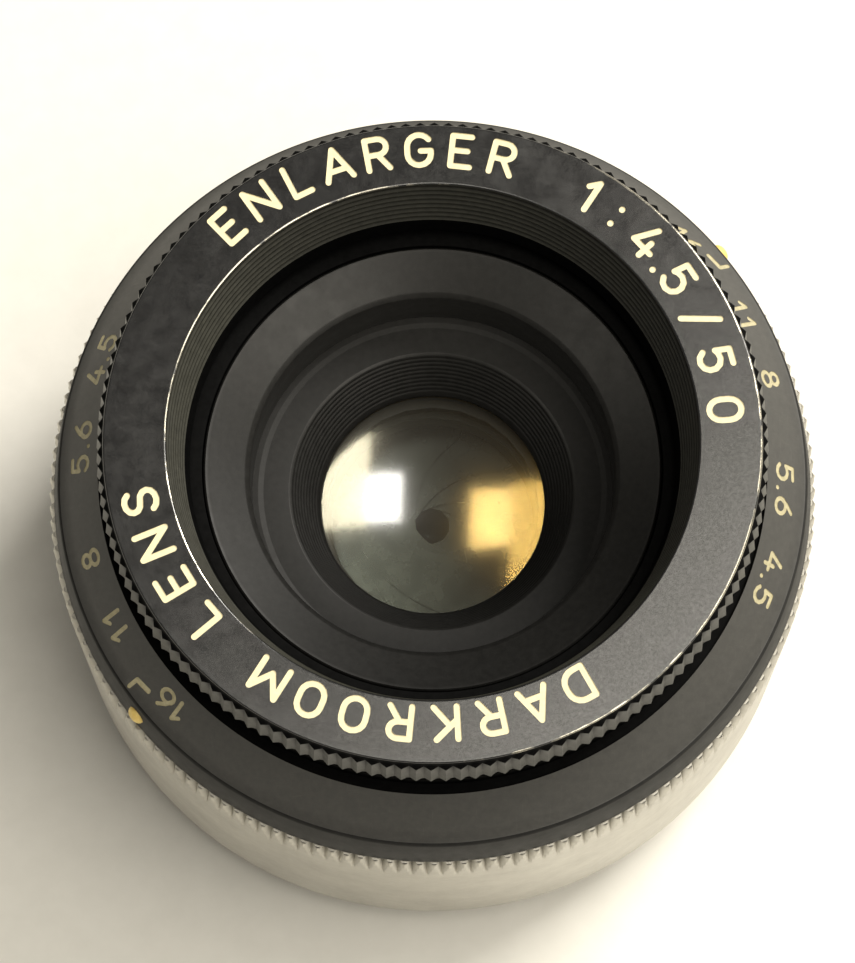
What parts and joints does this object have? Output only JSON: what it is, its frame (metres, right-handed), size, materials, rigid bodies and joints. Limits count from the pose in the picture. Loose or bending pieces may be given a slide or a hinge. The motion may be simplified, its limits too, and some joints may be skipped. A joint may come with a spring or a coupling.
{
  "type": "enlarger lens",
  "caption": "Darkroom enlarger lens with a screw mount, a turning front ring that carries the f-number scale, and a blade iris that opens with it.",
  "frame": {"origin": "centre of the rear rim of the screw collar, which the lens stands on", "axes": "+Z along the optical axis towards the front face; +X to the right and +Y up when the front face is seen as in normal reading"},
  "size_m": [0.0422, 0.0422, 0.031],
  "materials": {
    "name_ring_black": "satin black anodised aluminium, bright where the edges are worn",
    "black_anodised": "satin black anodised aluminium",
    "scale_black": "fine matt black with a grey sheen",
    "matt_black": "dull anti-reflection black",
    "satin_chrome": "satin chrome plate",
    "brass": "machined brass",
    "blade_steel": "burnished blade steel",
    "screw_steel": "turned steel",
    "coated_glass": "polished optical glass with an amber coating",
    "enamel": "cream yellow paint fill"
  },
  "bodies": {
    "root": {"mount_barrel": "satin_chrome", "index_band": "black_anodised", "index_dot_left": "enamel", "index_dot_right": "enamel", "inner_barrel": "matt_black", "barrel_lock_ring": "black_anodised", "hood_ring": "matt_black", "front_cell": "matt_black", "front_element": "coated_glass", "front_spacer": "matt_black", "middle_element": "coated_glass", "middle_retainer": "black_anodised", "rear_element_inner": "coated_glass", "rear_element_outer": "coated_glass", "rear_retainer": "black_anodised", "rear_cell": "black_anodised", "iris_seat_plate": "matt_black", "iris_base_plate": "matt_black"},
    "aperture_ring": {"front_ring": "name_ring_black", "scale_ring": "scale_black", "aperture_sleeve": "black_anodised", "drive_screw": "screw_steel", "iris_drive_ring": "brass"},
    "iris_blade_01": {"iris_blade_01": "blade_steel"},
    "iris_blade_02": {"iris_blade_02": "blade_steel"},
    "iris_blade_03": {"iris_blade_03": "blade_steel"},
    "iris_blade_04": {"iris_blade_04": "blade_steel"},
    "iris_blade_05": {"iris_blade_05": "blade_steel"},
    "iris_blade_06": {"iris_blade_06": "blade_steel"},
    "iris_blade_07": {"iris_blade_07": "blade_steel"},
    "iris_blade_08": {"iris_blade_08": "blade_steel"},
    "iris_blade_09": {"iris_blade_09": "blade_steel"},
    "iris_blade_10": {"iris_blade_10": "blade_steel"}
  },
  "joints": [
    {"name": "aperture_ring_turn", "type": "hinge", "parent": "root", "child": "aperture_ring", "pos_m": [0, 0, 0.0247], "axis": [0, 0, 1], "range_deg": [0, 59.2]},
    {"name": "iris_blade_01_pivot", "type": "hinge", "parent": "root", "child": "iris_blade_01", "pos_m": [0.01, 0, 0.0125], "axis": [0, 0, 1], "range_deg": [0, 26.4]},
    {"name": "iris_blade_02_pivot", "type": "hinge", "parent": "root", "child": "iris_blade_02", "pos_m": [0.00809, 0.00588, 0.0125], "axis": [0, 0, 1], "range_deg": [0, 26.4]},
    {"name": "iris_blade_03_pivot", "type": "hinge", "parent": "root", "child": "iris_blade_03", "pos_m": [0.00309, 0.00951, 0.0125], "axis": [0, 0, 1], "range_deg": [0, 26.4]},
    {"name": "iris_blade_04_pivot", "type": "hinge", "parent": "root", "child": "iris_blade_04", "pos_m": [-0.00309, 0.00951, 0.0125], "axis": [0, 0, 1], "range_deg": [0, 26.4]},
    {"name": "iris_blade_05_pivot", "type": "hinge", "parent": "root", "child": "iris_blade_05", "pos_m": [-0.00809, 0.00588, 0.0125], "axis": [0, 0, 1], "range_deg": [0, 26.4]},
    {"name": "iris_blade_06_pivot", "type": "hinge", "parent": "root", "child": "iris_blade_06", "pos_m": [-0.01, 0, 0.0125], "axis": [0, 0, 1], "range_deg": [0, 26.4]},
    {"name": "iris_blade_07_pivot", "type": "hinge", "parent": "root", "child": "iris_blade_07", "pos_m": [-0.00809, -0.00588, 0.0125], "axis": [0, 0, 1], "range_deg": [0, 26.4]},
    {"name": "iris_blade_08_pivot", "type": "hinge", "parent": "root", "child": "iris_blade_08", "pos_m": [-0.00309, -0.00951, 0.0125], "axis": [0, 0, 1], "range_deg": [0, 26.4]},
    {"name": "iris_blade_09_pivot", "type": "hinge", "parent": "root", "child": "iris_blade_09", "pos_m": [0.00309, -0.00951, 0.0125], "axis": [0, 0, 1], "range_deg": [0, 26.4]},
    {"name": "iris_blade_10_pivot", "type": "hinge", "parent": "root", "child": "iris_blade_10", "pos_m": [0.00809, -0.00588, 0.0125], "axis": [0, 0, 1], "range_deg": [0, 26.4]}
  ],
  "couplings": [
    {"joint": "iris_blade_01_pivot", "follows": "aperture_ring_turn", "ratio": 0.44425},
    {"joint": "iris_blade_02_pivot", "follows": "aperture_ring_turn", "ratio": 0.44425},
    {"joint": "iris_blade_03_pivot", "follows": "aperture_ring_turn", "ratio": 0.44425},
    {"joint": "iris_blade_04_pivot", "follows": "aperture_ring_turn", "ratio": 0.44425},
    {"joint": "iris_blade_05_pivot", "follows": "aperture_ring_turn", "ratio": 0.44425},
    {"joint": "iris_blade_06_pivot", "follows": "aperture_ring_turn", "ratio": 0.44425},
    {"joint": "iris_blade_07_pivot", "follows": "aperture_ring_turn", "ratio": 0.44425},
    {"joint": "iris_blade_08_pivot", "follows": "aperture_ring_turn", "ratio": 0.44425},
    {"joint": "iris_blade_09_pivot", "follows": "aperture_ring_turn", "ratio": 0.44425},
    {"joint": "iris_blade_10_pivot", "follows": "aperture_ring_turn", "ratio": 0.44425}
  ]
}
